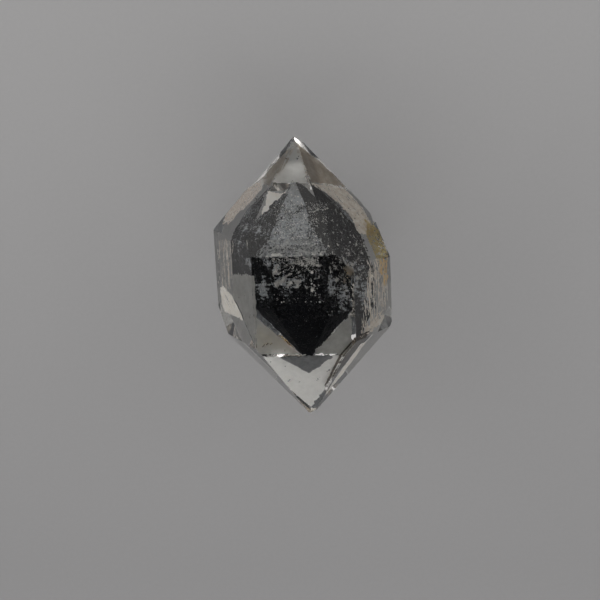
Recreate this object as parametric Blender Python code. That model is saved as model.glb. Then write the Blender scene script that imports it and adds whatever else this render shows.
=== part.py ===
"""Double terminated quartz: a clear crystal with a pyramid on both ends, lying on a side face.

Sealed in the clear quartz is a dark earlier crystal, whose faces run parallel to the outer ones.
The clear quartz is parted in two around it, level with its widest edges.
Metres, +Z up. The crystal's long axis is +Y and its broad front face looks up.
A face is given by its azimuth, turned from the front face (+Z) towards +X, by its steepness, which is
the angle between its normal and the long axis, and by its distance from the crystal's centre.
"""
import math

import bmesh
import bpy
from mathutils import Matrix, Vector

MM = 0.001

# The rough block that the faces are cut from, and the blocks that the growth steps are cut with
BLOCK_SIZE = 60.0 * MM
STEP_BLOCK_SIZE = 24.0 * MM
CUT_TOLERANCE = 1e-8
WELD_DISTANCE = 1e-6

# Quartz angles: side faces stand along the long axis, pyramid faces lean towards it
SIDE_STEEPNESS = 90.0
PYRAMID_STEEPNESS = 51.8

# Six side faces: azimuth to distance in millimetres
SIDE_FACES = {0: 7.50, 60: 8.55, 120: 7.15, 180: 7.00, 240: 7.55, 300: 7.15}
SIDE_TURN = {60: 1.0}

# Six faces of the upper pyramid, which is the longer and more pointed one
UPPER_FACES = {0: 8.10, 60: 7.95, 120: 9.10, 180: 8.85, 240: 9.00, 300: 8.55}
UPPER_LEAN = {0: 0.5, 60: 2.0}

# Six faces of the lower pyramid
LOWER_FACES = {0: 9.80, 60: 9.85, 120: 8.50, 180: 10.50, 240: 7.80, 300: 9.00}
LOWER_LEAN = {60: 0.5}

# The dark inner crystal, with the same eighteen faces nearer the centre
INNER_SIDE_FACES = {0: 4.30, 60: 4.50, 120: 4.50, 180: 4.20, 240: 4.16, 300: 4.16}
INNER_UPPER_FACES = {0: 5.50, 60: 5.55, 120: 5.80, 180: 5.50, 240: 5.60, 300: 5.65}
INNER_LOWER_FACES = {0: 4.85, 60: 5.45, 120: 5.45, 180: 4.90, 240: 4.63, 300: 4.63}

# Room around the inner crystal in its pocket, and between the two parts of the clear quartz
POCKET_GAP = 0.10
PARTING_GAP = 0.10

# Growth steps: above a line across a face, its floor lies nearer the centre than the face itself
# Azimuth and steepness of the floor, its distance, a point on the line, and the line's slant
GROWTH_STEPS = {
    "step_upper_left_outer": (300.0, 51.8, 8.40, (-3.10, 9.98, 0.68), 36.0),
    "step_upper_left_inner": (300.0, 51.8, 8.42, (-3.10, 9.98, 0.68), -20.0),
    "step_upper_back_left": (240.0, 51.8, 8.68, (-4.50, 9.05, -0.90), 1.0),
    "step_right_shoulder": (72.0, 60.0, 8.28, (7.45, 4.85, -0.80), -4.0),
}

CRYSTAL_COLOUR = (0.62, 0.62, 0.60, 1.0)
CRYSTAL_ROUGHNESS = 0.03
INNER_COLOUR = (0.04, 0.04, 0.045, 1.0)
INNER_ROUGHNESS = 0.55
QUARTZ_IOR = 1.544


def face_normal(azimuth, steepness, end=1.0):
    """Outward normal of a face; end is 1 towards +Y and -1 towards -Y."""
    turn = math.radians(azimuth)
    lean = math.radians(steepness)
    return Vector((math.sin(lean) * math.sin(turn), end * math.cos(lean), math.sin(lean) * math.cos(turn)))


def outer_planes():
    """Normal and distance of each of the clear crystal's eighteen faces."""
    planes = []
    for azimuth, distance in SIDE_FACES.items():
        turned = azimuth + SIDE_TURN.get(azimuth, 0.0)
        planes.append((face_normal(turned, SIDE_STEEPNESS), distance * MM))
    for azimuth, distance in UPPER_FACES.items():
        steepness = PYRAMID_STEEPNESS + UPPER_LEAN.get(azimuth, 0.0)
        planes.append((face_normal(azimuth, steepness), distance * MM))
    for azimuth, distance in LOWER_FACES.items():
        steepness = PYRAMID_STEEPNESS + LOWER_LEAN.get(azimuth, 0.0)
        planes.append((face_normal(azimuth, steepness, end=-1.0), distance * MM))
    return planes


def inner_planes(room=0.0):
    """Normal and distance of each face of the inner crystal, moved outward by the room."""
    planes = []
    for azimuth, distance in INNER_SIDE_FACES.items():
        planes.append((face_normal(azimuth, SIDE_STEEPNESS), (distance + room) * MM))
    for azimuth, distance in INNER_UPPER_FACES.items():
        planes.append((face_normal(azimuth, PYRAMID_STEEPNESS), (distance + room) * MM))
    for azimuth, distance in INNER_LOWER_FACES.items():
        planes.append((face_normal(azimuth, PYRAMID_STEEPNESS, end=-1.0), (distance + room) * MM))
    return planes


def cut_face(bm, normal, distance):
    """Cut the block flat at one crystal face and close the cut."""
    geometry = bm.verts[:] + bm.edges[:] + bm.faces[:]
    cut = bmesh.ops.bisect_plane(
        bm, geom=geometry, dist=CUT_TOLERANCE, plane_co=normal * distance, plane_no=normal, clear_outer=True
    )
    rim = [item for item in cut["geom_cut"] if isinstance(item, bmesh.types.BMEdge)]
    bmesh.ops.holes_fill(bm, edges=rim)


def new_object(name, bm, collection):
    """Turn a bmesh into an object of the collection."""
    bmesh.ops.recalc_face_normals(bm, faces=bm.faces[:])
    mesh = bpy.data.meshes.new(name)
    bm.to_mesh(mesh)
    bm.free()
    obj = bpy.data.objects.new(name, mesh)
    collection.objects.link(obj)
    return obj


def make_crystal(name, planes, collection):
    """A faceted crystal, centred on the point that the face distances are measured from."""
    bm = bmesh.new()
    bmesh.ops.create_cube(bm, size=BLOCK_SIZE)
    for normal, distance in planes:
        cut_face(bm, normal, distance)
    bmesh.ops.remove_doubles(bm, verts=bm.verts[:], dist=WELD_DISTANCE)
    return new_object(name, bm, collection)


def parting_plane(side):
    """The flat cut across the clear quartz; side is 1 for the front part and -1 for the back part."""
    return Vector((0.0, 0.0, -side)), -0.5 * PARTING_GAP * MM


def step_frame(azimuth, steepness, distance, point, slant):
    """Place of a growth step: x along its line, y uphill on its floor, z out of the floor."""
    out = face_normal(azimuth, steepness)
    level = Vector((0.0, 1.0, 0.0)).cross(out).normalized()
    uphill = out.cross(level)
    angle = math.radians(slant)
    along = level * math.cos(angle) + uphill * math.sin(angle)
    ahead = out.cross(along)
    start = Vector(point) * MM
    start += out * (distance * MM - out.dot(start))
    place = Matrix((along, ahead, out)).transposed().to_4x4()
    place.translation = start
    return place


def make_step_cutter(name, step, collection):
    """A block whose lower edge is the growth step's line and whose bottom is its floor."""
    bm = bmesh.new()
    bmesh.ops.create_cube(bm, size=STEP_BLOCK_SIZE)
    half = STEP_BLOCK_SIZE / 2.0
    bmesh.ops.translate(bm, verts=bm.verts[:], vec=(0.0, half, half))
    cutter = new_object(name, bm, collection)
    cutter.matrix_world = step_frame(*step)
    cutter.hide_render = True
    cutter.display_type = "WIRE"
    return cutter


def cut_away(crystal, cutters):
    """Let each growth step's block and the pocket take their part off the crystal."""
    for cutter in cutters:
        boolean = crystal.modifiers.new(cutter.name, "BOOLEAN")
        boolean.operation = "DIFFERENCE"
        boolean.solver = "EXACT"
        boolean.object = cutter


def lay_down(objects, crystals):
    """Move everything so that the crystal rests on z = 0, with the origin under its middle."""
    bpy.context.view_layer.update()
    depsgraph = bpy.context.evaluated_depsgraph_get()
    corners = []
    for crystal in crystals:
        corners += [vertex.co for vertex in crystal.evaluated_get(depsgraph).data.vertices]
    lowest = [min(corner[axis] for corner in corners) for axis in range(3)]
    highest = [max(corner[axis] for corner in corners) for axis in range(3)]
    shift = Vector((
        -(lowest[0] + highest[0]) / 2.0,
        -(lowest[1] + highest[1]) / 2.0,
        -lowest[2],
    ))
    for obj in objects:
        obj.matrix_world = Matrix.Translation(shift) @ obj.matrix_world


def new_material(name, colour, roughness, clearness=0.0):
    """Quartz of one look; clearness is 1 for clear quartz and 0 for the dark grainy kind."""
    material = bpy.data.materials.new(name)
    material.use_nodes = True
    shader = material.node_tree.nodes["Principled BSDF"]
    shader.inputs["Base Color"].default_value = colour
    shader.inputs["Roughness"].default_value = roughness
    shader.inputs["Metallic"].default_value = 0.0
    shader.inputs["IOR"].default_value = QUARTZ_IOR
    shader.inputs["Transmission Weight"].default_value = clearness
    return material


def new_collection(name):
    """A collection of the scene."""
    collection = bpy.data.collections.new(name)
    bpy.context.scene.collection.children.link(collection)
    return collection


def main():
    """Build the crystal."""
    for old in list(bpy.data.objects):
        bpy.data.objects.remove(old, do_unlink=True)
    parts = new_collection("double_terminated_quartz")
    helpers = new_collection("cutters")
    clear = new_material("clear_smoky_quartz", CRYSTAL_COLOUR, CRYSTAL_ROUGHNESS, clearness=1.0)
    dark = new_material("dark_grainy_quartz", INNER_COLOUR, INNER_ROUGHNESS)

    back = make_crystal("quartz_crystal", outer_planes() + [parting_plane(-1.0)], parts)
    front = make_crystal("quartz_crystal_front", outer_planes() + [parting_plane(1.0)], parts)
    inner = make_crystal("dark_inner_crystal", inner_planes(), parts)
    back.data.materials.append(clear)
    front.data.materials.append(clear)
    inner.data.materials.append(dark)

    cutters = [make_step_cutter(name, step, helpers) for name, step in GROWTH_STEPS.items()]
    pocket = make_crystal("pocket", inner_planes(POCKET_GAP), helpers)
    pocket.hide_render = True
    pocket.display_type = "WIRE"
    cutters.append(pocket)
    cut_away(back, cutters)
    cut_away(front, cutters)
    lay_down([back, front, inner] + cutters, [back, front])


main()
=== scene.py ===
"""Looks of the double terminated quartz: clear, faintly smoky, with a dark inner crystal and veils.

Metres, +Z up. The crystal lies on a side face, its long axis is +Y and its broad front face looks up.
"""

import logging
import math
import random
from dataclasses import dataclass, field
from enum import Enum

import bmesh
import bpy
from mathutils import Matrix, Vector, noise


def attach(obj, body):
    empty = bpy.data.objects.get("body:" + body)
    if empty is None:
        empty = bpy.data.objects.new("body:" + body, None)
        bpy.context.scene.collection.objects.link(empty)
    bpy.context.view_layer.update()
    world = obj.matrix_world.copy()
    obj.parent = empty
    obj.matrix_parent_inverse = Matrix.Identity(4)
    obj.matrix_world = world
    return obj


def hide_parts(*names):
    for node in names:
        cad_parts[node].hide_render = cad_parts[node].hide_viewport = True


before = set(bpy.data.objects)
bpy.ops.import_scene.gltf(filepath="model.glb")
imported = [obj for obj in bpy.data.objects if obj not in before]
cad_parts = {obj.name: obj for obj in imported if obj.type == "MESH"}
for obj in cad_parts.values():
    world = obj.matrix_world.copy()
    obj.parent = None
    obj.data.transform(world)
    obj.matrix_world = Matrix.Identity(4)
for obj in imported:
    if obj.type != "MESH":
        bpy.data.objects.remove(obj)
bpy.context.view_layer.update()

LOG = logging.getLogger("double_terminated_quartz")

Colour = tuple[float, float, float, float]
Point = tuple[float, float]
Triple = tuple[float, float, float]
Socket = bpy.types.NodeSocket
Material = bpy.types.Material
Piece = bpy.types.Object

MM = 0.001
TO_METRES = Matrix.Scale(MM, 4)
BACK_NODE = "quartz_crystal"
FRONT_NODE = "quartz_crystal_front"
INNER_NODE = "dark_inner_crystal"
BODY = "root"
PYRAMID_STEEPNESS = 51.8
PRISM_STEEPNESS = 90.0

LONG_AXIS = Vector((0.0, 1.0, 0.0))

# The point that every face distance is measured from, in millimetres
CENTRE = Vector((-0.2722, 0.1548, 7.0))

# How the line of sight leans inside the crystal behind its front face, for each millimetre of depth
SIGHT_LEAN = Vector((0.05, 0.165))

# Roughness, frequency ratio and octaves of the noise that makes films and dust ragged
RAGGED_NOISE = (0.6, 2.0, 5)


class Habit(Enum):
    """Which of the crystal's three sets of faces a face belongs to."""

    PRISM = (PRISM_STEEPNESS, 1.0)
    UPPER = (PYRAMID_STEEPNESS, 1.0)
    LOWER = (PYRAMID_STEEPNESS, -1.0)


@dataclass(frozen=True)
class CrystalFace:
    """A flat face: azimuth from the front towards +X, its distance from the centre in millimetres."""

    habit: Habit
    azimuth: float
    distance: float
    lean: float = 0.0

    def normal(self) -> Vector:
        """Outward normal of the face.

        Returns:
            The normal, of unit length.
        """
        steepness, end = self.habit.value
        turn = math.radians(self.azimuth)
        tilt = math.radians(steepness + self.lean)
        return Vector((math.sin(tilt) * math.sin(turn), end * math.cos(tilt), math.sin(tilt) * math.cos(turn)))

    def axes(self) -> tuple[Vector, Vector, Vector]:
        """Directions of the face's own frame.

        Returns:
            Level, uphill and outward, each of unit length.
        """
        out = self.normal()
        level = LONG_AXIS.cross(out).normalized()
        return level, out.cross(level), out

    def place(self, depth: float) -> Matrix:
        """Frame on the face: x level, y uphill, z outward.

        Args:
            depth: how far below the face the frame lies, in millimetres.

        Returns:
            The matrix, in millimetres.
        """
        level, uphill, out = self.axes()
        place = Matrix((level, uphill, out)).transposed().to_4x4()
        place.translation = CENTRE + out * (self.distance - depth)
        return place


FRONT = CrystalFace(Habit.PRISM, 0.0, 7.50)
RIGHT_SIDE = CrystalFace(Habit.PRISM, 61.0, 8.55)
LEFT_SIDE = CrystalFace(Habit.PRISM, 300.0, 7.15)
UPPER_FRONT = CrystalFace(Habit.UPPER, 0.0, 8.10, 0.5)
UPPER_RIGHT = CrystalFace(Habit.UPPER, 60.0, 7.95, 2.0)
UPPER_LEFT = CrystalFace(Habit.UPPER, 300.0, 8.55)
LOWER_FRONT = CrystalFace(Habit.LOWER, 0.0, 9.80)
LOWER_RIGHT = CrystalFace(Habit.LOWER, 60.0, 9.85, 0.5)

OUTER_FACES = (
    FRONT,
    RIGHT_SIDE,
    CrystalFace(Habit.PRISM, 120.0, 7.15),
    CrystalFace(Habit.PRISM, 180.0, 7.00),
    CrystalFace(Habit.PRISM, 240.0, 7.55),
    LEFT_SIDE,
    UPPER_FRONT,
    UPPER_RIGHT,
    CrystalFace(Habit.UPPER, 120.0, 9.10),
    CrystalFace(Habit.UPPER, 180.0, 8.85),
    CrystalFace(Habit.UPPER, 240.0, 9.00),
    UPPER_LEFT,
    LOWER_FRONT,
    LOWER_RIGHT,
    CrystalFace(Habit.LOWER, 120.0, 8.50),
    CrystalFace(Habit.LOWER, 180.0, 10.50),
    CrystalFace(Habit.LOWER, 240.0, 7.80),
    CrystalFace(Habit.LOWER, 300.0, 9.00),
)
OUTER_PLANES = tuple((face.normal(), face.distance) for face in OUTER_FACES)

INNER_FRONT = CrystalFace(Habit.PRISM, 0.0, 4.30)
INNER_RIGHT = CrystalFace(Habit.PRISM, 60.0, 4.50)
INNER_LEFT = CrystalFace(Habit.PRISM, 300.0, 4.16)
INNER_UPPER_FRONT = CrystalFace(Habit.UPPER, 0.0, 5.50)
INNER_UPPER_RIGHT = CrystalFace(Habit.UPPER, 60.0, 5.55)
INNER_UPPER_LEFT = CrystalFace(Habit.UPPER, 300.0, 5.65)


class Graph:
    """A material's node tree, with short calls to add and join nodes."""

    def __init__(self, name: str) -> None:
        """Start an empty node tree with its output node.

        Args:
            name: name of the material.
        """
        self.material = bpy.data.materials.new(name)
        self.material.use_nodes = True
        self.tree = self.material.node_tree
        self.tree.nodes.clear()
        self.output = self.tree.nodes.new("ShaderNodeOutputMaterial")
        self.here = self.add("ShaderNodeTexCoord").outputs["Object"]

    def add(self, kind: str, inputs: dict[str | int, object] | None = None, **settings: object) -> bpy.types.Node:
        """Add a node, set its properties and feed its inputs.

        Args:
            kind: the node's type.
            inputs: a plain value or an output to link, for each input that doesn't stay as it is.
            settings: values of its properties.

        Returns:
            The new node.
        """
        node = self.tree.nodes.new(kind)
        for key, value in settings.items():
            setattr(node, key, value)
        for key, value in (inputs or {}).items():
            if isinstance(value, Socket):
                self.tree.links.new(value, node.inputs[key])
            else:
                node.inputs[key].default_value = value
        return node

    def principled(self, **inputs: object) -> None:
        """Add the main shader and join it to the surface output.

        Args:
            inputs: values or outputs for its inputs, with underscores for the spaces in their names.
        """
        named = {key.replace("_", " "): value for key, value in inputs.items()}
        shader = self.add("ShaderNodeBsdfPrincipled", named)
        self.tree.links.new(shader.outputs["BSDF"], self.output.inputs["Surface"])

    def stretched(self, scale: Triple) -> Socket:
        """Object coordinates with a scale for each axis."""
        return self.add("ShaderNodeMapping", {"Vector": self.here, "Scale": scale}).outputs["Vector"]

    def coordinate(self, axis: str) -> Socket:
        """One of the object coordinates, X, Y or Z, in metres."""
        return self.add("ShaderNodeSeparateXYZ", {"Vector": self.here}).outputs[axis]

    def noise(self, scale: float, octaves: float, roughness: float = 0.6, where: Socket | None = None) -> Socket:
        """Fractal noise between 0 and 1, with a number of features in a metre."""
        inputs = {"Vector": where or self.here, "Scale": scale, "Detail": octaves, "Roughness": roughness}
        return self.add("ShaderNodeTexNoise", inputs).outputs["Fac"]

    def cells(self, scale: float) -> Socket:
        """Distance to the nearest of many scattered points."""
        return self.add("ShaderNodeTexVoronoi", {"Vector": self.here, "Scale": scale}).outputs["Distance"]

    def spread(self, value: object, low: float, high: float, to_low: float = 0.0, to_high: float = 1.0) -> Socket:
        """Map the range from low to high onto another one, clamped."""
        inputs = {"Value": value, "From Min": low, "From Max": high, "To Min": to_low, "To Max": to_high}
        return self.add("ShaderNodeMapRange", inputs).outputs["Result"]

    def math(self, operation: str, first: object, second: object) -> Socket:
        """Join two values by a sum, a product or another operation."""
        return self.add("ShaderNodeMath", {0: first, 1: second}, operation=operation).outputs["Value"]

    def blend(self, first: object, second: object, share: float) -> Socket:
        """Weighted sum of two values, of which the first one counts by the share."""
        return self.math("ADD", self.math("MULTIPLY", first, share), self.math("MULTIPLY", second, 1.0 - share))

    def mix(self, factor: object, first: object, second: object) -> Socket:
        """Blend two colours, with a factor of 0 for the first one."""
        return self.add("ShaderNodeMix", {0: factor, 6: first, 7: second}, data_type="RGBA").outputs[2]

    def attribute(self, name: str) -> Socket:
        """A value painted on the mesh's vertices."""
        return self.add("ShaderNodeAttribute", attribute_name=name).outputs["Fac"]

    def bump(self, height: object, strength: float, distance: float) -> Socket:
        """Surface normal bent by a height, whose full distance is in metres."""
        inputs = {"Height": height, "Strength": strength, "Distance": distance}
        return self.add("ShaderNodeBump", inputs).outputs["Normal"]


@dataclass(frozen=True)
class ClearQuartzFinish:
    """Clear natural quartz with a faint smoky tone and hardly visible growth lines."""

    tint: Colour = (0.985, 0.985, 0.98, 1.0)
    smoke: Colour = (0.80, 0.785, 0.76, 1.0)
    smoke_density: float = 9.0
    ior: float = 1.544
    line_scale: Triple = (90.0, 2600.0, 90.0)
    line_share: float = 0.6
    ripple_scale: float = 420.0
    smudge_scale: float = 900.0
    smudge_roughness: float = 0.05
    relief_strength: float = 0.05
    relief: float = 0.04 * MM

    def material(self) -> Material:
        """Build the material.

        Returns:
            The material.
        """
        graph = Graph("clear_smoky_quartz")
        lines = graph.noise(1.0, 3.0, 0.5, graph.stretched(self.line_scale))
        ripple = graph.noise(self.ripple_scale, 2.0)
        graph.principled(
            Base_Color=self.tint,
            Roughness=graph.spread(graph.noise(self.smudge_scale, 4.0), 0.55, 0.85, 0.0, self.smudge_roughness),
            IOR=self.ior,
            Transmission_Weight=1.0,
            Normal=graph.bump(graph.blend(lines, ripple, self.line_share), self.relief_strength, self.relief),
        )
        smoke = graph.add("ShaderNodeVolumeAbsorption", {"Color": self.smoke, "Density": self.smoke_density})
        graph.tree.links.new(smoke.outputs["Volume"], graph.output.inputs["Volume"])
        return graph.material


@dataclass(frozen=True)
class DarkCoreFinish:
    """Carbon-black grains with pale mineral dust on them, and painted light in the pale cover. The mesh says how much
    pale cover lies where, partly as dust and partly as painted light and shade.
    """

    black: Colour = (0.004, 0.0045, 0.006, 1.0)
    dust: Colour = (0.50, 0.53, 0.56, 1.0)
    # Whiter cover where the painted amount is high, which only the lower back faces reach: partly thick dust and
    # partly painted light that stands in for bright light reflected inside the crystal
    thick_dust_and_painted_light: Colour = (0.80, 0.80, 0.78, 1.0)
    # Near-white specks on the dustiest places: painted glints
    painted_glint: Colour = (0.95, 0.94, 0.90, 1.0)
    fine_scale: float = 5200.0
    fine_weight: float = 0.8
    mottle_scale: float = 1900.0
    mottle_share: float = 0.55
    blotch_scale: float = 520.0
    cover_range: Point = (1.05, 1.25)
    thick_range: Point = (0.6, 0.9)
    faint_scale: float = 5600.0
    faint_radius: Point = (0.24, 0.14)
    faint_weight: float = 0.12
    speck_scale: float = 3600.0
    speck_radius: Point = (0.27, 0.15)
    speck_range: Point = (0.62, 0.86)
    shine: float = 0.04
    relief: float = 0.08 * MM

    def material(self) -> Material:
        """Build the material.

        Returns:
            The material.
        """
        graph = Graph("dark_inner_crystal")
        painted = graph.attribute("dust")
        fine = graph.noise(self.fine_scale, 5.0, 0.75)
        mottle = graph.noise(self.mottle_scale, 5.0, 0.7)
        blotch = graph.noise(self.blotch_scale, 4.0, 0.6)
        coarse = graph.blend(mottle, blotch, self.mottle_share)
        level = graph.math("ADD", graph.math("ADD", graph.math("MULTIPLY", fine, self.fine_weight), coarse), painted)
        cover = graph.spread(level, *self.cover_range)
        faint = graph.math(
            "MULTIPLY", graph.spread(graph.cells(self.faint_scale), *self.faint_radius), self.faint_weight
        )
        colour = graph.mix(cover, graph.mix(faint, self.black, self.dust), self.dust)
        # Painted light: the whiter cover on the lower back faces
        colour = graph.mix(graph.spread(painted, *self.thick_range), colour, self.thick_dust_and_painted_light)
        # Painted glints: near-white specks where the dust is thickest
        painted_glint_specks = graph.spread(graph.cells(self.speck_scale), *self.speck_radius)
        dusty = graph.spread(graph.math("ADD", mottle, painted), *self.speck_range)
        colour = graph.mix(graph.math("MULTIPLY", painted_glint_specks, dusty), colour, self.painted_glint)
        graph.principled(
            Base_Color=colour,
            Roughness=graph.spread(mottle, 0.3, 0.7, 0.38, 0.75),
            Specular_IOR_Level=self.shine,
            Normal=graph.bump(mottle, 0.5, self.relief),
        )
        return graph.material


@dataclass(frozen=True)
class GrainFinish:
    """Glinting or dull grains of one mineral."""

    name: str
    dark: Colour
    light: Colour
    roughness: float = 0.45
    shine: float = 0.15
    tone_scale: float = 1900.0
    polish_scale: float = 2600.0
    polish_spread: Point = (0.7, 1.3)
    relief_scale: float = 5200.0
    relief: float = 0.03 * MM

    def material(self) -> Material:
        """Build the material.

        Returns:
            The material.
        """
        graph = Graph(self.name)
        tone = graph.spread(graph.noise(self.tone_scale, 5.0), 0.38, 0.68)
        smooth, rough = (self.roughness * factor for factor in self.polish_spread)
        graph.principled(
            Base_Color=graph.mix(tone, self.dark, self.light),
            Roughness=graph.spread(graph.noise(self.polish_scale, 3.0), 0.3, 0.7, smooth, rough),
            Specular_IOR_Level=self.shine,
            Normal=graph.bump(graph.noise(self.relief_scale, 4.0), 0.4, self.relief),
        )
        return graph.material


@dataclass(frozen=True)
class FilmFinish:
    """A thin film inside the crystal that tints and scatters the light going through it."""

    name: str
    thin: Colour
    thick: Colour
    clearness: float
    roughness: float = 0.5
    grain: float = 1500.0
    ior: float = 1.06
    relief_scale: float = 3400.0
    relief: float = 0.04 * MM

    def material(self) -> Material:
        """Build the material.

        Returns:
            The material.
        """
        graph = Graph(self.name)
        tone = graph.spread(graph.noise(self.grain, 5.0, 0.7), 0.38, 0.62)
        graph.principled(
            Base_Color=graph.mix(tone, self.thin, self.thick),
            Roughness=self.roughness,
            IOR=self.ior,
            Transmission_Weight=self.clearness,
            Normal=graph.bump(graph.noise(self.relief_scale, 4.0), 0.5, self.relief),
        )
        return graph.material


@dataclass(frozen=True)
class StudioFloorFinish:
    """Matt pale plate with a fine grain and a painted glow, standing in for soft light from below, lighter towards
    +Y.
    """

    light: Colour = (0.40, 0.40, 0.41, 1.0)
    dark: Colour = (0.36, 0.36, 0.37, 1.0)
    # Painted glow: emission that lights the plate without a lamp, from the first strength to the second towards +Y
    glow: Colour = (1.0, 0.985, 0.965, 1.0)
    glow_strength: Point = (0.015, 0.105)
    glow_reach: float = 35.0 * MM
    grain_scale: float = 2400.0
    grain_share: float = 0.35
    cloud_scale: float = 9.0
    relief: float = 0.05 * MM

    def material(self) -> Material:
        """Build the material.

        Returns:
            The material.
        """
        graph = Graph("pale_grey_card")
        grain = graph.noise(self.grain_scale, 5.0)
        clouds = graph.noise(self.cloud_scale, 2.0)
        tone = graph.blend(grain, clouds, self.grain_share)
        graph.principled(
            Base_Color=graph.mix(graph.spread(tone, 0.3, 0.7), self.dark, self.light),
            Roughness=graph.spread(grain, 0.2, 0.8, 0.82, 0.95),
            # Painted glow, stronger towards +Y
            Emission_Color=self.glow,
            Emission_Strength=graph.spread(
                graph.coordinate("Y"), -self.glow_reach, self.glow_reach, *self.glow_strength
            ),
            Normal=graph.bump(grain, 0.12, self.relief),
        )
        return graph.material


def loose_object(name: str, bm: bmesh.types.BMesh) -> Piece:
    """Turn a bmesh into an object of the scene.

    Args:
        name: name of the object.
        bm: its mesh, in metres, which is freed.

    Returns:
        The new object, at the origin, unturned and unscaled.
    """
    mesh = bpy.data.meshes.new(name)
    bm.to_mesh(mesh)
    bm.free()
    new = bpy.data.objects.new(name, mesh)
    bpy.context.scene.collection.objects.link(new)
    return new


def finish_piece(name: str, bm: bmesh.types.BMesh, material: Material) -> Piece:
    """Turn a bmesh into a piece that belongs to the crystal.

    Args:
        name: name of the piece.
        bm: its mesh, in metres, which is freed.
        material: its only material.

    Returns:
        The piece.
    """
    piece = loose_object(name, bm)
    piece.data.materials.append(material)
    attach(piece, BODY)
    LOG.info("%s: %d triangles", name, sum(len(face.vertices) - 2 for face in piece.data.polygons))
    return piece


@dataclass(frozen=True)
class GrowthStep:
    """Above a line across a face, a floor that lies nearer the centre than the face itself."""

    floor: CrystalFace
    point: Triple
    slant: float
    size: float = 24.0

    def cutter(self) -> Piece:
        """Make the block that the step is cut with, its lower edge on the step's line.

        Returns:
            The block, in metres.
        """
        level, uphill, out = self.floor.axes()
        turn = math.radians(self.slant)
        along = level * math.cos(turn) + uphill * math.sin(turn)
        place = Matrix((along, out.cross(along), out)).transposed().to_4x4()
        start = Vector(self.point)
        place.translation = CENTRE + start + out * (self.floor.distance - out.dot(start))
        bm = bmesh.new()
        bmesh.ops.create_cube(bm, size=self.size)
        bmesh.ops.translate(bm, verts=bm.verts[:], vec=(0.0, self.size / 2.0, self.size / 2.0))
        bmesh.ops.transform(bm, matrix=TO_METRES @ place, verts=bm.verts[:])
        return loose_object("growth_step_block", bm)


@dataclass
class ClearCrystal:
    """The clear crystal in one piece, with its sharp natural edges very slightly worn."""

    faces: tuple[CrystalFace, ...] = OUTER_FACES
    steps: tuple[GrowthStep, ...] = (
        GrowthStep(CrystalFace(Habit.UPPER, 300.0, 8.40), (-3.10, 9.98, 0.68), 36.0),
        GrowthStep(CrystalFace(Habit.UPPER, 300.0, 8.42), (-3.10, 9.98, 0.68), -20.0),
        GrowthStep(CrystalFace(Habit.UPPER, 240.0, 8.68), (-4.50, 9.05, -0.90), 1.0),
        GrowthStep(CrystalFace(Habit.UPPER, 72.0, 8.28, 8.2), (7.45, 4.85, -0.80), -4.0),
    )
    finish: ClearQuartzFinish = field(default_factory=ClearQuartzFinish)
    block_size: float = 60.0
    cut_tolerance: float = 1e-5
    edge_wear: float = 0.055 * MM
    weld: float = 0.001 * MM
    flat_angle: float = math.radians(0.2)

    def cut_block(self) -> Piece:
        """Cut a rough block flat at every face.

        Returns:
            The block, in metres.
        """
        bm = bmesh.new()
        bmesh.ops.create_cube(bm, size=self.block_size)
        for face in self.faces:
            out = face.normal()
            cut = bmesh.ops.bisect_plane(
                bm, geom=bm.verts[:] + bm.edges[:] + bm.faces[:], dist=self.cut_tolerance,
                plane_co=out * face.distance, plane_no=out, clear_outer=True,
            )
            rim = [item for item in cut["geom_cut"] if isinstance(item, bmesh.types.BMEdge)]
            bmesh.ops.holes_fill(bm, edges=rim)
        bmesh.ops.transform(bm, matrix=TO_METRES @ Matrix.Translation(CENTRE), verts=bm.verts[:])
        bmesh.ops.remove_doubles(bm, verts=bm.verts[:], dist=self.weld)
        bmesh.ops.recalc_face_normals(bm, faces=bm.faces[:])
        return loose_object("clear_block", bm)

    def build(self) -> Piece:
        """Make the piece, which stands for both parts of the clear quartz.

        Returns:
            The crystal.
        """
        block = self.cut_block()
        helpers = [block]
        for step in self.steps:
            cutter = step.cutter()
            helpers.append(cutter)
            cut = block.modifiers.new(cutter.name, "BOOLEAN")
            cut.operation = "DIFFERENCE"
            cut.solver = "EXACT"
            cut.object = cutter
        bpy.context.view_layer.update()
        whole = block.evaluated_get(bpy.context.evaluated_depsgraph_get())
        bm = bmesh.new()
        bm.from_mesh(whole.data)
        for helper in helpers:
            bpy.data.objects.remove(helper, do_unlink=True)
        bmesh.ops.remove_doubles(bm, verts=bm.verts[:], dist=self.weld)
        bmesh.ops.dissolve_limit(bm, angle_limit=self.flat_angle, verts=bm.verts[:], edges=bm.edges[:])
        bmesh.ops.bevel(
            bm, geom=bm.edges[:], offset=self.edge_wear, offset_type="OFFSET", segments=2, profile=0.5,
            affect="EDGES", material=-1, clamp_overlap=True,
        )
        bmesh.ops.recalc_face_normals(bm, faces=bm.faces[:])
        piece = finish_piece("clear_crystal", bm, self.finish.material())
        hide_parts(BACK_NODE, FRONT_NODE)
        return piece


@dataclass(frozen=True)
class DustPatch:
    """A pale patch on the inner crystal, where it is seen through the front, in millimetres."""

    x: float
    y: float
    half_width: float
    half_height: float
    strength: float
    sharpness: float = 2.5

    def amount(self, x: float, y: float, ragged: float) -> float:
        """How much dust the patch adds at a point.

        Args:
            x: place across the crystal.
            y: place along the crystal.
            ragged: shift of the patch's border there, as a share of its size.

        Returns:
            The amount of dust.
        """
        across = (x - self.x) / self.half_width
        along = (y - self.y) / self.half_height
        inside = 1.0 - math.sqrt(across * across + along * along) + ragged
        return self.strength * min(max(inside * self.sharpness, 0.0), 1.0)


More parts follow.
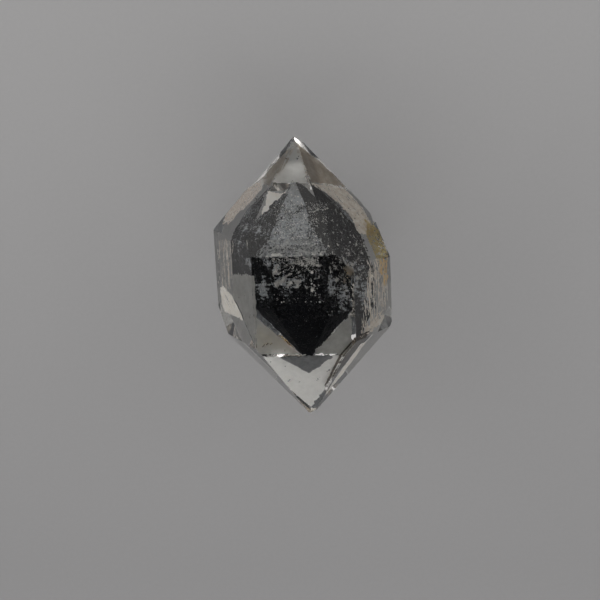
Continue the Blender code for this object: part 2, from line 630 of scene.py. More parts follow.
@dataclass
class InnerCrystal:
    """A dark earlier crystal that the clear one grew around, its faces parallel to the outer ones.

    Each face is given with the amount of pale cover on it. The amounts are partly dust and partly painted light and
    shade: extra cover on the upper front face as painted light, amounts below zero on the lower front faces as
    painted shade, and a thick pale cover on the lower back faces as painted light that stands in for bright light
    reflected inside the crystal.
    """

    faces: tuple[tuple[CrystalFace, float], ...] = (
        # Pale cover per face: dust, with painted light and shade on some faces
        (INNER_FRONT, 0.02),
        (INNER_RIGHT, 0.08),
        (CrystalFace(Habit.PRISM, 120.0, 4.50), 0.15),
        (CrystalFace(Habit.PRISM, 180.0, 4.20), 0.35),
        (CrystalFace(Habit.PRISM, 240.0, 4.16), 0.12),
        (INNER_LEFT, 0.08),
        # Painted light: extra pale cover on the upper front face
        (INNER_UPPER_FRONT, 0.31),
        (INNER_UPPER_RIGHT, 0.05),
        (CrystalFace(Habit.UPPER, 120.0, 5.80), 0.20),
        (CrystalFace(Habit.UPPER, 180.0, 5.50), 0.20),
        (CrystalFace(Habit.UPPER, 240.0, 5.60), 0.20),
        (INNER_UPPER_LEFT, 0.15),
        # Below zero: painted shade, no pale cover on the lower front faces
        (CrystalFace(Habit.LOWER, 0.0, 4.85), -0.12),
        (CrystalFace(Habit.LOWER, 60.0, 5.45), -0.10),
        # Painted light: thick pale cover on the lower back faces, for bright light reflected inside the crystal
        (CrystalFace(Habit.LOWER, 120.0, 5.45), 0.95),
        (CrystalFace(Habit.LOWER, 180.0, 4.90), 0.95),
        (CrystalFace(Habit.LOWER, 240.0, 4.63), 0.95),
        # Painted shade, as on the lower front faces
        (CrystalFace(Habit.LOWER, 300.0, 4.63), -0.10),
    )
    patches: tuple[DustPatch, ...] = (
        DustPatch(-1.85, 1.90, 0.35, 0.80, 0.34),
        DustPatch(-0.90, 0.55, 1.55, 0.85, 0.30),
        DustPatch(0.30, 2.60, 2.40, 0.35, 0.20),
        DustPatch(-3.20, 0.10, 0.70, 1.10, 0.26),
        DustPatch(3.50, 0.10, 0.80, 0.90, 0.22),
        DustPatch(4.60, -1.00, 0.80, 1.40, 0.24),
        DustPatch(2.10, 1.10, 0.90, 0.60, 0.14),
        DustPatch(-2.60, 2.60, 0.60, 0.45, 0.16),
    )
    finish: DarkCoreFinish = field(default_factory=DarkCoreFinish)
    detail: int = 7
    grain_size: float = 0.26
    grain_height: float = 0.085
    grain_level: float = 0.45
    swell: float = 0.10
    swell_scale: float = 1.1
    dust_swell: float = 0.10
    dust_scale: float = 0.9
    patch_floor: float = -1.0
    ragged: float = 0.9
    ragged_scale: Point = (1.6, 3.6)
    ragged_layer: float = 3.0
    parallel: float = 1e-6
    normals: list[Vector] = field(init=False)

    def __post_init__(self) -> None:
        """Work out the face normals."""
        self.normals = [face.normal() for face, _ in self.faces]

    def nearest(self, direction: Vector) -> tuple[float, int]:
        """Find where a line from the centre leaves the crystal.

        Args:
            direction: unit vector of the line.

        Returns:
            The distance, and which face the line meets.
        """
        best, which = math.inf, 0
        for index, normal in enumerate(self.normals):
            lean = normal.dot(direction)
            if lean > self.parallel:
                reach = self.faces[index][0].distance / lean
                if reach < best:
                    best, which = reach, index
        return best, which

    def build(self) -> Piece:
        """Make the piece: a ball drawn onto the faces, roughened and painted with dust and with painted light and
        shade.

        Returns:
            The inner crystal.
        """
        bm = bmesh.new()
        bmesh.ops.create_icosphere(bm, subdivisions=self.detail, radius=1.0)
        layer = bm.verts.layers.float.new("dust")
        for vert in bm.verts:
            direction = vert.co.normalized()
            reach, which = self.nearest(direction)
            spot = direction * reach
            near = noise.voronoi(spot / self.grain_size)[0]
            lift = (self.grain_level - near[0]) * self.grain_height
            lift += noise.noise(spot * self.swell_scale) * self.swell
            vert.co = (CENTRE + spot + self.normals[which] * lift) * MM
            vert[layer] = self.dust(spot, which)
        bmesh.ops.recalc_face_normals(bm, faces=bm.faces[:])
        piece = finish_piece("dusty_inner_crystal", bm, self.finish.material())
        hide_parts(INNER_NODE)
        return piece

    def dust(self, spot: Vector, which: int) -> float:
        """Amount of pale cover at a point of the surface: dust, and the painted light and shade of each face's base
        amount.

        Args:
            spot: the point, from the centre, in millimetres.
            which: the face that it lies on.

        Returns:
            The amount, from about 0 for none to 1 for a thick cover.
        """
        # The face's base amount carries the painted light and shade; the noise and the front patches are dust.
        face, base = self.faces[which]
        amount = base + self.dust_swell * noise.noise(spot * self.dust_scale)
        if spot.z > self.patch_floor and face.habit is not Habit.UPPER:
            depth = INNER_FRONT.distance - spot.z
            x = spot.x + SIGHT_LEAN.x * depth
            y = spot.y + SIGHT_LEAN.y * depth
            grid = Vector((x * self.ragged_scale[0], y * self.ragged_scale[1], self.ragged_layer))
            ragged = self.ragged * noise.fractal(grid, *RAGGED_NOISE)
            amount += max(patch.amount(x, y, ragged) for patch in self.patches)
        return amount


@dataclass(frozen=True)
class GrainBed:
    """Grains scattered over a part of a face, inside the crystal."""

    face: CrystalFace
    low: Point
    high: Point
    count: int
    size: Point
    depth: Point
    flatness: float = 0.8


@dataclass
class Grains:
    """All grains of one mineral, as one piece."""

    name: str
    beds: tuple[GrainBed, ...]
    finish: GrainFinish
    seed: int
    smallness: float = 2.5
    widths: Point = (0.6, 1.3)
    tilt: float = 0.6
    raggedness: float = 0.13

    def add_grain(self, bm: bmesh.types.BMesh, bed: GrainBed, rng: random.Random) -> None:
        """Add one grain.

        Args:
            bm: the mesh that it is added to.
            bed: where it lies and how large it may be.
            rng: source of its chances.
        """
        spot = Vector((rng.uniform(bed.low[0], bed.high[0]), rng.uniform(bed.low[1], bed.high[1]), 0.0))
        place = bed.face.place(rng.uniform(*bed.depth)) @ Matrix.Translation(spot)
        size = bed.size[0] + (bed.size[1] - bed.size[0]) * rng.random() ** self.smallness
        wide, high = size * rng.uniform(*self.widths), size * rng.uniform(*self.widths)
        shape = Matrix.Diagonal((wide, high, size * bed.flatness, 1.0))
        turn = Matrix.Rotation(rng.uniform(0.0, math.tau), 4, "Z")
        turn = turn @ Matrix.Rotation(rng.uniform(-self.tilt, self.tilt), 4, "X")
        ball = bmesh.ops.create_icosphere(
            bm, subdivisions=1, radius=0.5, matrix=TO_METRES @ place @ turn @ shape
        )
        for vert in ball["verts"]:
            vert.co += Vector([rng.uniform(-self.raggedness, self.raggedness) * size * MM for _ in range(3)])

    def build(self) -> Piece:
        """Scatter the grains over their beds.

        Returns:
            The piece.
        """
        rng = random.Random(self.seed)
        bm = bmesh.new()
        for bed in self.beds:
            for _ in range(bed.count):
                self.add_grain(bm, bed, rng)
        bmesh.ops.recalc_face_normals(bm, faces=bm.faces[:])
        return finish_piece(self.name, bm, self.finish.material())


@dataclass(frozen=True)
class Patch:
    """Ragged outline of a film on a face, in millimetres of that face's own frame.

    The noise that leaves holes in the film is stretched along the slant, and coverage is the share that stays.
    """

    face: CrystalFace
    outline: tuple[Point, ...]
    depth: float
    coverage: float
    stretch: Point
    slant: float = 0.0
    waviness: float = 0.04


@dataclass
class Films:
    """Films of one kind inside the crystal, as one piece of many ragged plates."""

    name: str
    patches: tuple[Patch, ...]
    finish: FilmFinish | GrainFinish
    cell: float = 0.09
    thickness: float = 0.012
    margin: float = 0.05
    wobble: float = 0.18
    wobble_scale: float = 2.3
    jitter: float = 0.45
    jitter_scale: float = 9.0
    wave_scale: float = 1.7
    wave_layer: float = 3.1
    hole_layer: float = 7.3
    seed: int = 1

    def inside(self, outline: tuple[Point, ...], x: float, y: float) -> bool:
        """Whether a point is inside an outline.

        Args:
            outline: the outline's corners.
            x: the point along x.
            y: the point along y.

        Returns:
            True inside.
        """
        found = False
        for (ax, ay), (bx, by) in zip(outline, outline[1:] + outline[:1]):
            if (ay > y) != (by > y) and x < (bx - ax) * (y - ay) / (by - ay) + ax:
                found = not found
        return found

    def within_crystal(self, place: Matrix, x: float, y: float) -> bool:
        """Whether a point of a film keeps its margin to every face of the crystal."""
        spot = place @ Vector((x, y, 0.0)) - CENTRE
        return all(normal.dot(spot) <= distance - self.margin for normal, distance in OUTER_PLANES)

    def kept(self, patch: Patch, x: float, y: float, number: int) -> bool:
        """Whether the film's ragged shape covers a point of its face.

        Args:
            patch: the film.
            x: the point along x.
            y: the point along y.
            number: the film's number, which gives it its own noise.

        Returns:
            True where the film stays.
        """
        wobble = self.wobble * noise.noise(Vector((x * self.wobble_scale, y * self.wobble_scale, number + 0.5)))
        if not self.inside(patch.outline, x + wobble, y - wobble):
            return False
        turn = math.radians(patch.slant)
        along = x * math.cos(turn) + y * math.sin(turn)
        across = y * math.cos(turn) - x * math.sin(turn)
        grid = Vector((along * patch.stretch[0], across * patch.stretch[1], number * self.hole_layer))
        return noise.fractal(grid, *RAGGED_NOISE) * 0.5 + 0.5 < patch.coverage

    def lay(self, bm: bmesh.types.BMesh, patch: Patch, number: int) -> None:
        """Add one film.

        Args:
            bm: the mesh that it is added to.
            patch: the film.
            number: the film's number.
        """
        xs = [point[0] for point in patch.outline]
        ys = [point[1] for point in patch.outline]
        wide, high = max(xs) - min(xs), max(ys) - min(ys)
        middle = Vector(((max(xs) + min(xs)) / 2.0, (max(ys) + min(ys)) / 2.0, 0.0))
        place = patch.face.place(patch.depth)
        part = bmesh.new()
        bmesh.ops.create_grid(
            part, x_segments=max(int(wide / self.cell), 2), y_segments=max(int(high / self.cell), 2), size=0.5
        )
        bmesh.ops.transform(
            part, matrix=Matrix.Translation(middle) @ Matrix.Diagonal((wide, high, 1.0, 1.0)), verts=part.verts[:]
        )
        spare = []
        for face in part.faces:
            x, y, _ = face.calc_center_median()
            if not (self.kept(patch, x, y, number) and self.within_crystal(place, x, y)):
                spare.append(face)
        bmesh.ops.delete(part, geom=spare, context="FACES")
        for vert in part.verts:
            jitter = noise.noise_vector(vert.co * self.jitter_scale) * self.cell * self.jitter
            wave = Vector((vert.co.x * self.wave_scale, vert.co.y * self.wave_scale, number * self.wave_layer))
            vert.co += Vector((jitter.x, jitter.y, noise.noise(wave) * patch.waviness))
        bmesh.ops.solidify(part, geom=part.faces[:], thickness=self.thickness)
        bmesh.ops.transform(part, matrix=TO_METRES @ place, verts=part.verts[:])
        bmesh.ops.recalc_face_normals(part, faces=part.faces[:])
        mesh = bpy.data.meshes.new("film_part")
        part.to_mesh(mesh)
        part.free()
        bm.from_mesh(mesh)
        bpy.data.meshes.remove(mesh)

    def build(self) -> Piece:
        """Make the piece.

        Returns:
            The piece.
        """
        noise.seed_set(self.seed)
        bm = bmesh.new()
        for number, patch in enumerate(self.patches):
            self.lay(bm, patch, number)
        return finish_piece(self.name, bm, self.finish.material())


BLACK_GRAINS = Grains(
    name="black_grains",
    beds=(
        GrainBed(INNER_FRONT, (-2.4, -3.4), (2.8, 3.0), 420, (0.06, 0.34), (-0.20, 0.02)),
        GrainBed(INNER_RIGHT, (-2.8, -3.6), (2.8, 4.0), 620, (0.06, 0.36), (-0.35, 0.02)),
        GrainBed(INNER_LEFT, (-2.4, 1.3), (2.4, 4.0), 200, (0.05, 0.26), (-0.20, 0.02)),
        GrainBed(INNER_UPPER_RIGHT, (-2.6, -2.0), (2.2, 4.6), 420, (0.05, 0.30), (-0.35, 0.02)),
        GrainBed(INNER_UPPER_FRONT, (-2.2, -2.0), (2.3, 4.2), 420, (0.03, 0.14), (-0.16, 0.00)),
        GrainBed(INNER_UPPER_LEFT, (-2.2, -2.0), (2.6, 4.4), 260, (0.05, 0.24), (-0.25, 0.02)),
    ),
    finish=GrainFinish("carbon_black_grains", (0.006, 0.006, 0.007, 1.0), (0.030, 0.031, 0.033, 1.0), 0.35),
    seed=11,
)

PALE_GRAINS = Grains(
    name="pale_grains",
    beds=(
        GrainBed(INNER_UPPER_FRONT, (-2.0, -2.2), (2.3, 4.6), 1500, (0.03, 0.13), (-0.24, -0.04), 0.4),
        GrainBed(INNER_UPPER_FRONT, (0.6, -1.6), (2.3, 0.6), 260, (0.04, 0.16), (-0.22, -0.02), 0.4),
        GrainBed(INNER_UPPER_RIGHT, (-2.4, -2.0), (2.2, 4.2), 240, (0.03, 0.10), (-0.30, -0.05), 0.4),
        GrainBed(INNER_UPPER_LEFT, (-2.2, -2.0), (2.4, 4.2), 130, (0.03, 0.09), (-0.25, -0.05), 0.4),
        GrainBed(INNER_FRONT, (-2.3, -1.6), (2.6, 2.9), 150, (0.03, 0.11), (-0.25, -0.05), 0.4),
        GrainBed(INNER_FRONT, (-2.3, -5.0), (2.6, -1.6), 60, (0.02, 0.06), (-0.20, -0.05), 0.4),
        GrainBed(INNER_FRONT, (1.55, 1.45), (1.70, 1.60), 4, (0.18, 0.34), (-0.50, -0.38), 0.4),
        GrainBed(INNER_FRONT, (1.48, 0.35), (1.60, 0.48), 3, (0.16, 0.30), (-0.50, -0.38), 0.4),
        GrainBed(INNER_FRONT, (2.15, -1.45), (2.25, -1.35), 2, (0.14, 0.22), (-0.40, -0.30), 0.4),
        GrainBed(INNER_FRONT, (-1.50, -1.35), (-1.20, -1.28), 3, (0.08, 0.18), (-0.30, -0.20), 0.4),
        GrainBed(INNER_RIGHT, (-2.0, -2.6), (2.6, 3.0), 260, (0.03, 0.13), (-0.45, -0.08), 0.4),
    ),
    finish=GrainFinish("silvery_flakes", (0.74, 0.74, 0.72, 1.0), (0.98, 0.97, 0.95, 1.0), 0.3, 0.5),
    seed=23,
)

SILVER_VEILS = Films(
    name="silver_veils",
    patches=(
        Patch(INNER_FRONT, ((-2.2, 2.6), (-1.55, 2.5), (-1.6, 1.2), (-2.1, 1.1)), -0.25, 0.46, (1.2, 2.6), 60.0),
        Patch(
            INNER_FRONT, ((-2.1, 1.5), (0.4, 1.7), (0.6, 0.2), (-1.2, -0.5), (-2.0, 0.2)),
            -0.22, 0.34, (1.0, 2.8), 25.0,
        ),
        Patch(INNER_FRONT, ((-0.6, 2.8), (2.6, 2.6), (2.4, 2.0), (-0.4, 2.1)), -0.25, 0.36, (1.0, 3.4), 4.0),
        Patch(INNER_FRONT, ((-2.2, 3.0), (2.6, 2.9), (2.6, 2.6), (-2.2, 2.7)), -0.30, 0.40, (1.1, 5.0), 0.0),
        Patch(
            INNER_UPPER_RIGHT, ((-2.4, -1.8), (2.0, -1.6), (1.6, 2.8), (-1.0, 4.6)),
            -0.35, 0.19, (1.8, 2.6), 40.0, 0.20,
        ),
        Patch(INNER_RIGHT, ((-2.2, 3.2), (2.4, 2.8), (2.4, 0.4), (-2.2, 0.2)), -0.40, 0.23, (1.8, 2.6), 120.0, 0.20),
        Patch(INNER_FRONT, ((0.6, 2.2), (2.4, 2.2), (2.4, -1.6), (1.2, -1.4)), -0.25, 0.30, (1.4, 3.0), 70.0, 0.12),
    ),
    finish=GrainFinish("silvery_veil", (0.34, 0.34, 0.33, 1.0), (0.80, 0.79, 0.76, 1.0), 0.45),
    cell=0.07,
)

DUST_VEIL = Films(
    name="grey_dust_veil",
    patches=(
        Patch(UPPER_FRONT, ((-3.3, -1.75), (-2.6, 0.1), (2.6, 0.1), (3.3, -1.75)), 0.35, 0.52, (4.5, 4.5), 0.0, 0.10),
        Patch(
            UPPER_FRONT, ((-3.5, -1.80), (-3.0, -0.6), (3.0, -0.6), (3.5, -1.80)),
            0.20, 0.42, (5.5, 5.5), 0.0, 0.08,
        ),
    ),
    finish=GrainFinish("grey_dust", (0.16, 0.17, 0.18, 1.0), (0.62, 0.63, 0.62, 1.0), 0.6),
    cell=0.06,
)

WHITE_EDGE_WEAR = Films(
    name="white_fracture_flakes",
    patches=(
        Patch(UPPER_FRONT, ((-2.55, -1.45), (-1.0, -1.45), (-0.9, -1.88), (-2.55, -1.84)), 0.06, 0.66, (2.0, 3.0)),
        Patch(UPPER_FRONT, ((1.95, -1.50), (2.70, -1.50), (2.70, -1.90), (1.95, -1.88)), 0.06, 0.62, (2.0, 3.0)),
        Patch(UPPER_FRONT, ((-1.0, -1.72), (2.0, -1.74), (2.0, -1.88), (-1.0, -1.88)), 0.06, 0.42, (2.0, 3.0)),
        Patch(FRONT, ((-1.6, -5.95), (3.1, -6.05), (3.1, -6.22), (-1.6, -6.15)), 0.06, 0.32, (1.2, 5.0)),
        Patch(
            UPPER_LEFT, ((-2.89, 5.02), (-1.04, 5.84), (-0.27, 6.17), (0.04, 5.18), (-1.32, 4.19)),
            0.20, 0.45, (2.4, 4.0), 30.0,
        ),
        Patch(UPPER_LEFT, ((-2.70, 4.95), (-0.95, 5.95), (-0.9, 5.7), (-2.6, 4.6)), 0.22, 0.55, (3.0, 3.0)),
    ),
    finish=GrainFinish("white_fracture", (0.70, 0.69, 0.66, 1.0), (0.95, 0.94, 0.92, 1.0), 0.35),
    cell=0.06,
)

IRON_STAIN = Films(
    name="iron_stain_films",
    patches=(
        Patch(UPPER_RIGHT, ((3.5, 1.0), (4.5, -0.7), (3.3, -3.4), (1.2, -3.3), (1.7, -1.0)), 0.16, 0.64, (3.0, 3.0)),
        Patch(UPPER_RIGHT, ((2.8, 2.0), (4.4, 1.0), (4.2, -1.2), (2.0, -0.6)), 0.34, 0.56, (3.0, 3.0)),
    ),
    finish=FilmFinish("iron_stain", (0.84, 0.74, 0.42, 1.0), (0.60, 0.46, 0.16, 1.0), 0.74, 0.40, 2000.0),
)

UPPER_RIGHT_TIP = (
    (0.37, 10.7), (0.9, 9.7), (2.3, 7.9), (3.6, 4.8), (-1.14, 6.26), (-0.36, 8.34), (0.05, 9.92),
)
UPPER_LEFT_TIP = ((0.3, 10.2), (-0.5, 8.4), (-1.5, 6.2), (-2.4, 5.1), (0.8, 5.5), (0.94, 7.8), (1.02, 9.41))

AMBER_STAIN = Films(
    name="amber_stain",
    patches=(
        Patch(
            RIGHT_SIDE,
            ((1.3, 2.4), (2.1, 2.6), (2.95, 2.0), (2.6, 1.1), (2.75, -0.2), (2.0, -0.9), (1.7, 0.1), (1.1, 0.9)),
            0.14, 0.54, (1.2, 2.6), 84.0,
        ),
        Patch(FRONT, ((4.7, 2.4), (5.3, 2.5), (5.5, 1.7), (5.2, 0.9), (4.9, 1.4)), 0.60, 0.36, (3.2, 2.4), 60.0),
    ),
    finish=FilmFinish("amber", (0.95, 0.80, 0.50, 1.0), (0.86, 0.62, 0.28, 1.0), 0.45, 0.45),
    cell=0.07,
)

BROWN_STAIN = Films(
    name="brown_stain_films",
    patches=(
        Patch(FRONT, ((4.65, 2.6), (5.6, 2.5), (5.55, 0.6), (4.65, 0.6)), 0.50, 0.46, (1.6, 1.2)),
        Patch(UPPER_LEFT, UPPER_LEFT_TIP, 0.30, 0.80, (2.6, 1.2), 70.0),
        Patch(UPPER_LEFT, UPPER_LEFT_TIP, 0.55, 0.55, (2.6, 1.2), 60.0),
        Patch(UPPER_RIGHT, UPPER_RIGHT_TIP, 0.25, 0.92, (1.0, 3.0), 120.0),
        Patch(UPPER_RIGHT, UPPER_RIGHT_TIP, 0.50, 0.66, (1.4, 3.0), 110.0),
    ),
    finish=FilmFinish("brown_stain", (0.70, 0.66, 0.60, 1.0), (0.52, 0.46, 0.39, 1.0), 0.85, 0.30),
)

BAND_OUTLINE = (
    (-1.38, 6.18), (1.25, 5.42), (3.34, 4.74), (3.97, 2.95), (4.17, 1.48), (3.99, 0.2),
    (2.2, -0.59), (1.17, -0.13), (1.52, 1.66), (1.06, 3.4), (0.0, 4.88),
)
RIGHT_OUTLINE = (
    (-0.51, 2.48), (2.97, 1.38), (2.73, -2.41), (1.43, -3.92), (-0.79, -4.57), (-2.74, -4.86), (-1.73, -1.36),
)

PALE_STREAKS = Films(
    name="pale_fracture_streaks",
    patches=(
        Patch(RIGHT_SIDE, RIGHT_OUTLINE, 0.30, 0.38, (0.35, 5.5), 88.0),
        Patch(RIGHT_SIDE, RIGHT_OUTLINE, 0.60, 0.36, (0.45, 4.5), 94.0),
        Patch(
            RIGHT_SIDE, ((-3.1, -4.7), (-0.5, -3.7), (1.6, -3.1), (1.8, -4.2), (-0.6, -4.8)),
            0.20, 0.56, (1.2, 2.4), 20.0,
        ),
        Patch(UPPER_RIGHT, BAND_OUTLINE, 0.30, 0.66, (0.8, 5.0), 118.0),
        Patch(UPPER_RIGHT, BAND_OUTLINE, 0.55, 0.58, (1.0, 6.0), 110.0),
        Patch(LEFT_SIDE, ((-3.78, 3.9), (-4.68, -1.39), (-0.65, -0.61), (0.16, 4.51)), 0.30, 0.36, (0.35, 6.0), 86.0),
    ),
    finish=FilmFinish("pale_streak", (1.0, 0.97, 0.91, 1.0), (0.76, 0.68, 0.59, 1.0), 0.20, 0.5, 2600.0),
    cell=0.08,
)

# Pale, mostly cloudy sheet just under the lower front face: painted reflection that makes that face light grey, as if
# it mirrored bright surroundings
PAINTED_REFLECTION_VEIL = Films(
    name="painted_reflection_veil",
    patches=(
        Patch(
            LOWER_FRONT,
            ((-3.82, -0.45), (-1.72, -0.54), (0.86, -3.2), (3.35, -0.6), (4.3, -0.64), (2.48, -5.37), (0.61, -9.3),
             (-0.72, -7.03), (-2.86, -2.35)),
            0.35, 0.90, (0.5, 2.0), 60.0,
        ),
    ),
    finish=FilmFinish("pale_painted_reflection", (0.99, 0.99, 0.97, 1.0), (0.93, 0.93, 0.91, 1.0), 0.12, 0.6),
    cell=0.10,
)

# Faint pale haze in the lower left corner of the front face and near the upper tip: painted light that lightens those
# places
PAINTED_LIGHT_HAZE = Films(
    name="painted_light_veil",
    patches=(
        Patch(FRONT, ((-3.78, -2.39), (0.33, -6.13), (-3.98, -6.09)), 0.45, 0.85, (0.6, 2.0), 45.0),
        Patch(
            UPPER_FRONT,
            ((-0.15, 10.65), (0.34, 10.51), (1.03, 7.58), (1.42, 6.02), (-0.79, 6.12), (-2.05, 6.17), (-1.01, 8.55)),
            0.30, 0.90, (0.8, 2.0), 0.0,
        ),
    ),
    finish=FilmFinish("pale_painted_light", (0.96, 0.96, 0.94, 1.0), (0.88, 0.88, 0.86, 1.0), 0.78, 0.5),
    cell=0.10,
)

GREY_HAZE = Films(
    name="grey_haze",
    patches=(
        Patch(
            LEFT_SIDE,
            ((-0.66, 0.9), (4.2, 1.76), (4.2, -5.3), (1.68, -3.25), (1.19, -2.58), (-0.81, -1.3)),
            0.40, 0.97, (0.5, 2.0), 70.0, 0.10,
        ),
        Patch(FRONT, ((1.46, -6.07), (5.24, -2.28), (5.25, -5.30), (4.35, -6.25)), 0.45, 0.90, (0.6, 2.0), 45.0),
    ),
    finish=FilmFinish("grey_haze", (0.60, 0.60, 0.58, 1.0), (0.48, 0.48, 0.46, 1.0), 0.50, 0.5),
    cell=0.10,
)

SLATE_HAZE = Films(
    name="slate_haze",
    patches=(
        Patch(LOWER_FRONT, ((-1.75, -0.45), (3.35, -0.50), (0.86, -3.25)), 0.30, 1.0, (0.5, 1.5), 60.0),
    ),
    finish=FilmFinish("slate_haze", (0.34, 0.35, 0.36, 1.0), (0.20, 0.21, 0.22, 1.0), 0.55, 0.5),
    cell=0.10,
)

UMBER_FILM = Films(
    name="umber_film",
    patches=(
        Patch(
            LOWER_RIGHT,
            ((-0.95, 1.73), (-3.42, 1.79), (-4.96, 1.13), (-5.0, -0.37), (-4.45, -2.54), (-3.47, -5.25),
             (-2.6, -5.6), (-2.5, -4.15), (-2.5, -2.13), (-1.8, -0.13)),
            0.35, 0.86, (0.6, 3.0), 80.0,
        ),
    ),
    finish=FilmFinish("umber_stain", (0.34, 0.29, 0.24, 1.0), (0.10, 0.08, 0.07, 1.0), 0.85, 0.25),
)

FROSTED_BAND = Films(
    name="frosted_band",
    patches=(
        Patch(
            UPPER_LEFT,
            ((-4.4, 1.6), (-3.4, 3.5), (-2.7, 4.8), (-0.9, 5.7), (0.1, 4.9), (-0.8, 3.0), (-1.9, 1.5), (-2.4, 0.3),
             (-3.0, 0.7), (-3.6, 0.2)),
            0.20, 0.66, (5.0, 5.0),
        ),
        Patch(
            UPPER_LEFT,
            ((-4.4, 1.6), (-3.4, 3.5), (-2.7, 4.8), (-1.8, 4.6), (-2.2, 3.0), (-2.6, 1.2), (-3.5, 0.5)),
            0.50, 0.62, (6.0, 6.0),
        ),
    ),
    finish=FilmFinish("frost", (1.0, 0.96, 0.91, 1.0), (0.72, 0.62, 0.54, 1.0), 0.10, 0.5, 4200.0),
    cell=0.05,
)

# Opaque cream films on the lower left side, the lower right face and the upper front face: fractures whose near-white
# colour is partly a painted reflection of bright light
CREAM_FRACTURES_AND_REFLECTIONS = Films(
    name="cream_painted_reflection_streak",
    patches=(
        Patch(
            LEFT_SIDE,
            ((-3.9, -1.0), (-3.6, -2.8), (-3.0, -3.3), (1.7, -3.2), (1.2, -2.6), (-0.8, -1.3), (-3.1, -0.6)),
            0.12, 0.76, (0.5, 9.0), -33.0,
        ),
        Patch(
            LOWER_RIGHT,
            ((-0.88, 0.31), (-0.75, -2.59), (-0.88, -4.87), (-1.45, -6.7), (-1.49, -7.28), (-2.1, -4.37),
             (-2.1, -1.68), (-1.9, 0.4)),
            0.15, 0.80, (0.5, 4.0), 85.0,
        ),
        Patch(
            UPPER_FRONT, ((-2.27, 5.2), (-1.16, 5.04), (-0.4, 5.61), (-1.73, 4.09), (-3.14, 2.75)),
            0.25, 0.84, (1.0, 4.0), 30.0,
        ),
    ),
    finish=FilmFinish("cream_fracture_with_painted_reflection", (0.98, 0.96, 0.92, 1.0), (0.93, 0.89, 0.82, 1.0), 0.0, 0.4),
    cell=0.07,
)


@dataclass
class Stage:
    """The pale plate that the crystal lies on, in metres."""

    size: float = 3.0
    gap: float = 0.05 * MM
    finish: StudioFloorFinish = field(default_factory=StudioFloorFinish)

    def build(self) -> Piece:
        """Make the floor.

        Returns:
            The floor.
        """
        bm = bmesh.new()
        bmesh.ops.create_grid(bm, x_segments=1, y_segments=1, size=self.size / 2.0)
        bmesh.ops.translate(bm, verts=bm.verts[:], vec=(0.0, 0.0, -self.gap))
        floor = loose_object("studio_floor", bm)
        floor.data.materials.append(self.finish.material())
        return floor


@dataclass(frozen=True)
class SoftBox:
    """A large soft light aimed at the crystal, in degrees, metres and watts.

    Azimuth 0 is the +Y side and turns towards +X.
    """

    name: str
    azimuth: float
    elevation: float
    distance: float
    width: float
    height: float
    power: float
    colour: Triple

    def build(self) -> Piece:
        """Hang the light.

        Returns:
            The light.
        """
        lamp = bpy.data.lights.new(self.name, "AREA")
        lamp.shape = "RECTANGLE"
        lamp.size = self.width
        lamp.size_y = self.height
        lamp.energy = self.power
        lamp.color = self.colour
        box = bpy.data.objects.new(self.name, lamp)
        turn, rise = math.radians(self.azimuth), math.radians(self.elevation)
        away = Vector((math.sin(turn) * math.cos(rise), math.cos(turn) * math.cos(rise), math.sin(rise)))
        box.location = CENTRE * MM + away * self.distance
        box.rotation_euler = away.to_track_quat("Z", "Y").to_euler()
        bpy.context.scene.collection.objects.link(box)
        return box


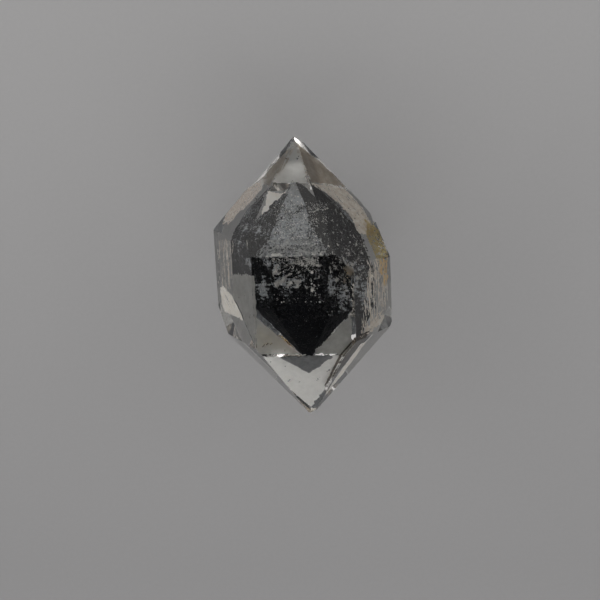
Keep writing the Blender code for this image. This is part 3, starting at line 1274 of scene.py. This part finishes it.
@dataclass
class Studio:
    """World, lights and camera, whose distances are in millimetres and whose angles are in degrees."""

    boxes: tuple[SoftBox, ...] = (
        SoftBox("key_softbox", 4.0, 36.0, 0.60, 1.50, 0.80, 2.20, (1.0, 0.99, 0.97)),
        SoftBox("left_softbox", -90.0, 12.0, 0.50, 0.80, 0.44, 1.55, (1.0, 0.98, 0.96)),
        SoftBox("right_softbox", 90.0, 12.0, 0.50, 0.80, 0.44, 0.80, (1.0, 0.98, 0.96)),
        SoftBox("low_softbox", 180.0, 25.0, 0.50, 0.80, 0.40, 1.60, (1.0, 0.98, 0.96)),
    )
    horizon: Colour = (0.34, 0.332, 0.322, 1.0)
    zenith: Colour = (0.022, 0.023, 0.026, 1.0)
    ceiling_range: Point = (0.25, 0.70)
    eye_distance: float = 120.0
    eye_drop: float = 2.5
    lens: float = 72.0
    sensor: float = 36.0
    clip_start: float = 0.005
    clip_end: float = 10.0
    elevation: float = 13.92
    roll: float = 2.81
    turn: float = 4.65

    def build(self) -> None:
        """Set the studio up."""
        world = bpy.data.worlds.new("studio_world")
        world.use_nodes = True
        self.paint_world(world.node_tree)
        scene = bpy.context.scene
        scene.world = world
        for box in self.boxes:
            box.build()
        scene.camera = self.camera()
        scene.view_settings.view_transform = "Standard"
        scene.view_settings.look = "None"
        scene.view_settings.exposure = 0.0
        scene.cycles.max_bounces = 24
        scene.cycles.transmission_bounces = 20
        scene.cycles.glossy_bounces = 12
        scene.cycles.diffuse_bounces = 6

    def paint_world(self, tree: bpy.types.NodeTree) -> None:
        """Give the room a pale lower part and a dark ceiling.

        Args:
            tree: the world's node tree.
        """
        where = tree.nodes.new("ShaderNodeTexCoord")
        parts = tree.nodes.new("ShaderNodeSeparateXYZ")
        height = tree.nodes.new("ShaderNodeMapRange")
        height.interpolation_type = "SMOOTHSTEP"
        height.inputs["From Min"].default_value, height.inputs["From Max"].default_value = self.ceiling_range
        blend = tree.nodes.new("ShaderNodeMix")
        blend.data_type = "RGBA"
        blend.inputs[6].default_value = self.horizon
        blend.inputs[7].default_value = self.zenith
        tree.links.new(where.outputs["Generated"], parts.inputs["Vector"])
        tree.links.new(parts.outputs["Z"], height.inputs["Value"])
        tree.links.new(height.outputs["Result"], blend.inputs[0])
        tree.links.new(blend.outputs[2], tree.nodes["Background"].inputs["Color"])

    def camera(self) -> Piece:
        """Place the camera where the photograph was taken from, looking down on the crystal.

        Returns:
            The camera.
        """
        rise, turn, roll = (math.radians(angle) for angle in (self.elevation, self.turn, self.roll))
        spin = Matrix.Rotation(turn, 3, "Y")
        toward = spin @ Vector((0.0, math.sin(rise), math.cos(rise)))
        level_up = spin @ Vector((0.0, math.cos(rise), -math.sin(rise)))
        level_right = spin @ Vector((1.0, 0.0, 0.0))
        right = level_right * math.cos(roll) - level_up * math.sin(roll)
        up = level_right * math.sin(roll) + level_up * math.cos(roll)
        data = bpy.data.cameras.new("camera")
        data.lens = self.lens
        data.sensor_width = self.sensor
        data.clip_start = self.clip_start
        data.clip_end = self.clip_end
        camera = bpy.data.objects.new("camera", data)
        bpy.context.scene.collection.objects.link(camera)
        place = Matrix((right, up, toward)).transposed().to_4x4()
        place.translation = (CENTRE + toward * self.eye_distance - up * self.eye_drop) * MM
        camera.matrix_world = place
        return camera


def main() -> None:
    """Build every piece in order and report it."""
    logging.basicConfig(level=logging.INFO, format="%(name)s: %(message)s")
    ClearCrystal().build()
    InnerCrystal().build()
    for grains in (BLACK_GRAINS, PALE_GRAINS):
        grains.build()
    for films in (
        SILVER_VEILS, DUST_VEIL, WHITE_EDGE_WEAR, IRON_STAIN, BROWN_STAIN, PALE_STREAKS, PAINTED_REFLECTION_VEIL, PAINTED_LIGHT_HAZE,
        GREY_HAZE, SLATE_HAZE, UMBER_FILM, AMBER_STAIN, FROSTED_BAND, CREAM_FRACTURES_AND_REFLECTIONS,
    ):
        films.build()
    Stage().build()
    Studio().build()


if __name__ == "__main__":
    main()
